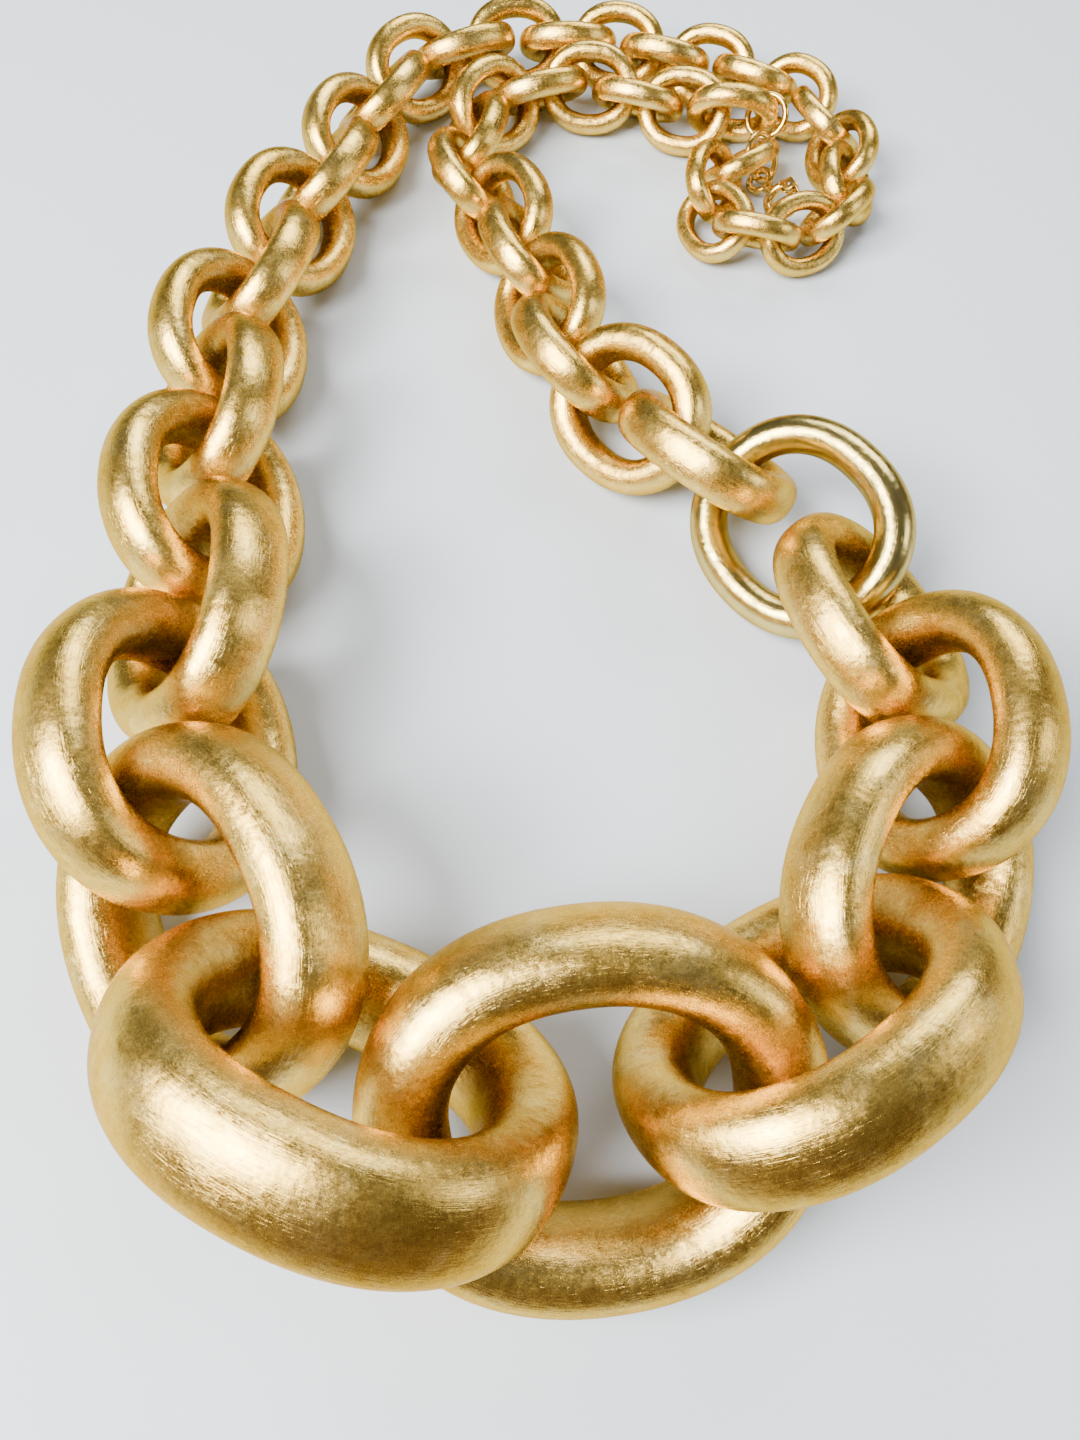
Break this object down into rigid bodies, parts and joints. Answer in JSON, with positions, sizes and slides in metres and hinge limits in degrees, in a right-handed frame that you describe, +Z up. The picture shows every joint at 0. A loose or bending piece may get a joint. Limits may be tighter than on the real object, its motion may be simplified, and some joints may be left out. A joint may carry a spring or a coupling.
{
  "type": "chain necklace",
  "caption": "Long graduated necklace of chunky closed oval links, small at the ends and large at the front, laid flat with its ends curled up, with a lobster clasp.",
  "frame": {"origin": "middle of the laid necklace seen from above, on the table plane", "axes": "+Z up from the table, +Y from the large front links to the curled small ends, +X to the right as seen from the large links"},
  "size_m": [0.1487, 0.2716, 0.0483],
  "materials": {
    "gold_leaf": "brushed satin gold leaf, worn in places",
    "smooth_gold": "smooth olive gold, satin",
    "fitting_gold": "plated, semi-gloss",
    "steel": "bare wire"
  },
  "bodies": {
    "centre_link": {"centre_link": "gold_leaf"},
    "left_link_1": {"left_link_1": "gold_leaf"},
    "left_link_2": {"left_link_2": "gold_leaf"},
    "left_link_3": {"left_link_3": "gold_leaf"},
    "left_link_4": {"left_link_4": "gold_leaf"},
    "left_link_5": {"left_link_5": "gold_leaf"},
    "left_link_6": {"left_link_6": "gold_leaf"},
    "left_link_7": {"left_link_7": "gold_leaf"},
    "left_link_8": {"left_link_8": "gold_leaf"},
    "left_link_9": {"left_link_9": "gold_leaf"},
    "left_link_10": {"left_link_10": "gold_leaf"},
    "left_link_11": {"left_link_11": "gold_leaf"},
    "left_link_12": {"left_link_12": "gold_leaf"},
    "left_link_13": {"left_link_13": "gold_leaf"},
    "left_link_14": {"left_link_14": "gold_leaf"},
    "left_link_15": {"left_link_15": "gold_leaf"},
    "left_link_16": {"left_link_16": "gold_leaf"},
    "left_link_17": {"left_link_17": "gold_leaf"},
    "left_link_18": {"left_link_18": "gold_leaf"},
    "left_link_19": {"left_link_19": "gold_leaf"},
    "left_link_20": {"left_link_20": "gold_leaf"},
    "left_link_21": {"left_link_21": "gold_leaf"},
    "left_link_22": {"left_link_22": "gold_leaf"},
    "left_link_23": {"left_link_23": "gold_leaf"},
    "left_link_24": {"left_link_24": "gold_leaf"},
    "left_link_25": {"left_link_25": "gold_leaf"},
    "left_link_26": {"left_link_26": "gold_leaf"},
    "left_link_27": {"left_link_27": "gold_leaf"},
    "left_link_28": {"left_link_28": "gold_leaf"},
    "left_link_29": {"left_link_29": "gold_leaf"},
    "left_link_30": {"left_link_30": "gold_leaf"},
    "right_link_1": {"right_link_1": "gold_leaf"},
    "right_link_2": {"right_link_2": "gold_leaf"},
    "right_link_3": {"right_link_3": "gold_leaf"},
    "right_link_4": {"right_link_4": "gold_leaf"},
    "right_link_5": {"right_link_5": "smooth_gold"},
    "right_link_6": {"right_link_6": "gold_leaf"},
    "right_link_7": {"right_link_7": "gold_leaf"},
    "right_link_8": {"right_link_8": "gold_leaf"},
    "right_link_9": {"right_link_9": "gold_leaf"},
    "right_link_10": {"right_link_10": "gold_leaf"},
    "right_link_11": {"right_link_11": "gold_leaf"},
    "right_link_12": {"right_link_12": "gold_leaf"},
    "right_link_13": {"right_link_13": "gold_leaf"},
    "right_link_14": {"right_link_14": "gold_leaf"},
    "right_link_15": {"right_link_15": "gold_leaf"},
    "right_link_16": {"right_link_16": "gold_leaf"},
    "right_link_17": {"right_link_17": "gold_leaf"},
    "right_link_18": {"right_link_18": "gold_leaf"},
    "right_link_19": {"right_link_19": "gold_leaf"},
    "left_jump_ring": {"left_jump_ring": "fitting_gold"},
    "clasp_lever": {"clasp_lever": "fitting_gold"},
    "right_end_ring": {"right_end_ring": "fitting_gold"},
    "clasp": {"clasp_body": "fitting_gold", "clasp_pin": "steel", "clasp_spring": "steel"}
  },
  "joints": [
    {"name": "left_swing_1", "type": "hinge", "parent": "centre_link", "child": "left_link_1", "pos_m": [-0.00248, -0.11861, 0.02464], "axis": [0.0872, 0.9962, 0], "range_deg": [0, 8]},
    {"name": "left_swing_2", "type": "hinge", "parent": "left_link_1", "child": "left_link_2", "pos_m": [-0.04093, -0.10161, 0.02202], "axis": [0.7071, 0.7071, 0], "range_deg": [0, 5]},
    {"name": "left_swing_3", "type": "hinge", "parent": "left_link_2", "child": "left_link_3", "pos_m": [-0.05407, -0.07727, 0.01937], "axis": [0.9397, 0.342, 0], "range_deg": [0, 12]},
    {"name": "left_swing_4", "type": "hinge", "parent": "left_link_3", "child": "left_link_4", "pos_m": [-0.05745, -0.04703, 0.01805], "axis": [1, 0, 0], "range_deg": [0, 6]},
    {"name": "left_swing_5", "type": "hinge", "parent": "left_link_4", "child": "left_link_5", "pos_m": [-0.05674, -0.02295, 0.01601], "axis": [0.9962, 0.0872, 0], "range_deg": [0, 12]},
    {"name": "left_swing_6", "type": "hinge", "parent": "left_link_5", "child": "left_link_6", "pos_m": [-0.0594, -0.00111, 0.01465], "axis": [0.9962, 0.0872, 0], "range_deg": [0, 12]},
    {"name": "left_swing_7", "type": "hinge", "parent": "left_link_6", "child": "left_link_7", "pos_m": [-0.06104, 0.01651, 0.01318], "axis": [1, 0, 0], "range_deg": [0, 12]},
    {"name": "left_swing_8", "type": "hinge", "parent": "left_link_7", "child": "left_link_8", "pos_m": [-0.05918, 0.03785, 0.01244], "axis": [0.9848, -0.1736, 0], "range_deg": [0, 12]},
    {"name": "left_swing_9", "type": "hinge", "parent": "left_link_8", "child": "left_link_9", "pos_m": [-0.05562, 0.05262, 0.01138], "axis": [0.9659, -0.2588, 0], "range_deg": [0, 12]},
    {"name": "left_swing_10", "type": "hinge", "parent": "left_link_9", "child": "left_link_10", "pos_m": [-0.04985, 0.07026, 0.01085], "axis": [0.9397, -0.342, 0], "range_deg": [0, 12]},
    {"name": "left_swing_11", "type": "hinge", "parent": "left_link_10", "child": "left_link_11", "pos_m": [-0.04433, 0.08462, 0.01021], "axis": [0.9397, -0.342, 0], "range_deg": [0, 12]},
    {"name": "left_swing_12", "type": "hinge", "parent": "left_link_11", "child": "left_link_12", "pos_m": [-0.03983, 0.09837, 0.00964], "axis": [0.9397, -0.342, 0], "range_deg": [0, 12]},
    {"name": "left_swing_13", "type": "hinge", "parent": "left_link_12", "child": "left_link_13", "pos_m": [-0.03723, 0.10869, 0.00895], "axis": [0.866, -0.5, 0], "range_deg": [0, 12]},
    {"name": "left_swing_14", "type": "hinge", "parent": "left_link_13", "child": "left_link_14", "pos_m": [-0.02351, 0.12366, 0.00895], "axis": [0.5736, -0.8192, 0], "range_deg": [0, 12]},
    {"name": "left_swing_15", "type": "hinge", "parent": "left_link_14", "child": "left_link_15", "pos_m": [-0.01567, 0.12573, 0.00833], "axis": [0.2588, -0.9659, 0], "range_deg": [0, 12]},
    {"name": "left_swing_16", "type": "hinge", "parent": "left_link_15", "child": "left_link_16", "pos_m": [-0.00194, 0.12806, 0.00812], "axis": [0.0872, -0.9962, 0], "range_deg": [0, 12]},
    {"name": "left_swing_17", "type": "hinge", "parent": "left_link_16", "child": "left_link_17", "pos_m": [0.00829, 0.12815, 0.00781], "axis": [-0.0872, -0.9962, 0], "range_deg": [0, 12]},
    {"name": "left_swing_18", "type": "hinge", "parent": "left_link_17", "child": "left_link_18", "pos_m": [0.02113, 0.12582, 0.00766], "axis": [-0.2588, -0.9659, 0], "range_deg": [0, 12]},
    {"name": "left_swing_19", "type": "hinge", "parent": "left_link_18", "child": "left_link_19", "pos_m": [0.03162, 0.1221, 0.00746], "axis": [-0.342, -0.9397, 0], "range_deg": [0, 12]},
    {"name": "left_swing_20", "type": "hinge", "parent": "left_link_19", "child": "left_link_20", "pos_m": [0.04196, 0.11871, 0.00729], "axis": [-0.342, -0.9397, 0], "range_deg": [0, 12]},
    {"name": "left_swing_21", "type": "hinge", "parent": "left_link_20", "child": "left_link_21", "pos_m": [0.05073, 0.11522, 0.00713], "axis": [-0.5736, -0.8192, 0], "range_deg": [0, 12]},
    {"name": "left_swing_22", "type": "hinge", "parent": "left_link_21", "child": "left_link_22", "pos_m": [0.06029, 0.10576, 0.00707], "axis": [-0.8192, -0.5736, 0], "range_deg": [0, 12]},
    {"name": "left_swing_23", "type": "hinge", "parent": "left_link_22", "child": "left_link_23", "pos_m": [0.06333, 0.09857, 0.00691], "axis": [-0.9659, -0.2588, 0], "range_deg": [0, 12]},
    {"name": "left_swing_24", "type": "hinge", "parent": "left_link_23", "child": "left_link_24", "pos_m": [0.06503, 0.08553, 0.00687], "axis": [-1, 0, 0], "range_deg": [0, 12]},
    {"name": "left_swing_25", "type": "hinge", "parent": "left_link_24", "child": "left_link_25", "pos_m": [0.06492, 0.07885, 0.0071], "axis": [-0.9397, 0.342, 0], "range_deg": [0, 12]},
    {"name": "left_swing_26", "type": "hinge", "parent": "left_link_25", "child": "left_link_26", "pos_m": [0.05609, 0.06624, 0.0071], "axis": [-0.6428, 0.766, 0], "range_deg": [0, 12]},
    {"name": "left_swing_27", "type": "hinge", "parent": "left_link_26", "child": "left_link_27", "pos_m": [0.04813, 0.06329, 0.00731], "axis": [-0.0872, 0.9962, 0], "range_deg": [0, 12]},
    {"name": "left_swing_28", "type": "hinge", "parent": "left_link_27", "child": "left_link_28", "pos_m": [0.03726, 0.06573, 0.00685], "axis": [0.5736, 0.8192, 0], "range_deg": [0, 12]},
    {"name": "left_swing_29", "type": "hinge", "parent": "left_link_28", "child": "left_link_29", "pos_m": [0.03219, 0.0755, 0.00683], "axis": [1, 0, 0], "range_deg": [0, 12]},
    {"name": "left_swing_30", "type": "hinge", "parent": "left_link_29", "child": "left_link_30", "pos_m": [0.03675, 0.08537, 0.00721], "axis": [0.766, -0.6428, 0], "range_deg": [0, 10]},
    {"name": "right_swing_1", "type": "hinge", "parent": "centre_link", "child": "right_link_1", "pos_m": [0.02035, -0.11191, 0.02107], "axis": [-0.342, 0.9397, 0], "range_deg": [-18, 0]},
    {"name": "right_swing_2", "type": "hinge", "parent": "right_link_1", "child": "right_link_2", "pos_m": [0.04806, -0.09279, 0.0193], "axis": [-0.766, 0.6428, 0], "range_deg": [-15, 0]},
    {"name": "right_swing_3", "type": "hinge", "parent": "right_link_2", "child": "right_link_3", "pos_m": [0.05882, -0.07412, 0.01777], "axis": [-0.9659, 0.2588, 0], "range_deg": [-18, 0]},
    {"name": "right_swing_4", "type": "hinge", "parent": "right_link_3", "child": "right_link_4", "pos_m": [0.05876, -0.04361, 0.01598], "axis": [-0.9659, -0.2588, 0], "range_deg": [-10, 0]},
    {"name": "right_swing_5", "type": "hinge", "parent": "right_link_4", "child": "right_link_5", "pos_m": [0.05174, -0.0252, 0.01284], "axis": [-0.9063, -0.4226, 0], "range_deg": [-18, 0]},
    {"name": "right_swing_6", "type": "hinge", "parent": "right_link_5", "child": "right_link_6", "pos_m": [0.03499, -0.0017, 0.01247], "axis": [-0.7071, -0.7071, 0], "range_deg": [-18, 0]},
    {"name": "right_swing_7", "type": "hinge", "parent": "right_link_6", "child": "right_link_7", "pos_m": [0.02094, 0.00702, 0.01228], "axis": [-0.6428, -0.766, 0], "range_deg": [-18, 0]},
    {"name": "right_swing_8", "type": "hinge", "parent": "right_link_7", "child": "right_link_8", "pos_m": [0.01109, 0.01542, 0.01106], "axis": [-0.8192, -0.5736, 0], "range_deg": [-18, 0]},
    {"name": "right_swing_9", "type": "hinge", "parent": "right_link_8", "child": "right_link_9", "pos_m": [0.00157, 0.03372, 0.01072], "axis": [-0.9397, -0.342, 0], "range_deg": [-18, 0]},
    {"name": "right_swing_10", "type": "hinge", "parent": "right_link_9", "child": "right_link_10", "pos_m": [-0.00174, 0.04855, 0.01008], "axis": [-0.9659, -0.2588, 0], "range_deg": [-18, 0]},
    {"name": "right_swing_11", "type": "hinge", "parent": "right_link_10", "child": "right_link_11", "pos_m": [-0.0062, 0.06216, 0.00956], "axis": [-0.9063, -0.4226, 0], "range_deg": [-18, 0]},
    {"name": "right_swing_12", "type": "hinge", "parent": "right_link_11", "child": "right_link_12", "pos_m": [-0.01332, 0.06987, 0.0089], "axis": [-0.866, -0.5, 0], "range_deg": [-15, 0]},
    {"name": "right_swing_13", "type": "hinge", "parent": "right_link_12", "child": "right_link_13", "pos_m": [-0.01939, 0.08913, 0.0089], "axis": [-0.9962, -0.0872, 0], "range_deg": [-18, 0]},
    {"name": "right_swing_14", "type": "hinge", "parent": "right_link_13", "child": "right_link_14", "pos_m": [-0.01829, 0.09625, 0.00869], "axis": [-0.9063, 0.4226, 0], "range_deg": [-18, 0]},
    {"name": "right_swing_15", "type": "hinge", "parent": "right_link_14", "child": "right_link_15", "pos_m": [-0.00627, 0.11058, 0.00869], "axis": [-0.5736, 0.8192, 0], "range_deg": [-18, 0]},
    {"name": "right_swing_16", "type": "hinge", "parent": "right_link_15", "child": "right_link_16", "pos_m": [0.00161, 0.11232, 0.00808], "axis": [-0.0872, 0.9962, 0], "range_deg": [-18, 0]},
    {"name": "right_swing_17", "type": "hinge", "parent": "right_link_16", "child": "right_link_17", "pos_m": [0.01463, 0.11068, 0.0078], "axis": [0.2588, 0.9659, 0], "range_deg": [-18, 0]},
    {"name": "right_swing_18", "type": "hinge", "parent": "right_link_17", "child": "right_link_18", "pos_m": [0.02488, 0.10626, 0.00743], "axis": [0.342, 0.9397, 0], "range_deg": [-18, 0]},
    {"name": "right_swing_19", "type": "hinge", "parent": "right_link_18", "child": "right_link_19", "pos_m": [0.03668, 0.10277, 0.00763], "axis": [0.1736, 0.9848, 0], "range_deg": [-18, 0]},
    {"name": "jump_ring_swing", "type": "hinge", "parent": "left_link_30", "child": "left_jump_ring", "pos_m": [0.04713, 0.09273, 0.00652], "axis": [0.5736, -0.8192, 0], "range_deg": [0, 12]},
    {"name": "clasp_swing", "type": "hinge", "parent": "left_jump_ring", "child": "clasp", "pos_m": [0.04648, 0.08853, 0.00438], "axis": [-0.9962, 0.0872, 0], "range_deg": [0, 12]},
    {"name": "end_ring_swing", "type": "hinge", "parent": "right_link_19", "child": "right_end_ring", "pos_m": [0.04866, 0.10167, 0.00843], "axis": [0.0552, 0.419, -0.9063], "range_deg": [-24, 24]},
    {"name": "lever_hinge", "type": "hinge", "parent": "clasp", "child": "clasp_lever", "pos_m": [0.05219, 0.08259, 0.00544], "axis": [0.5324, 0.225, -0.816], "range_deg": [0, 18], "stiffness_Nm_per_rad": 0.0004, "springref_deg": -8.59}
  ]
}
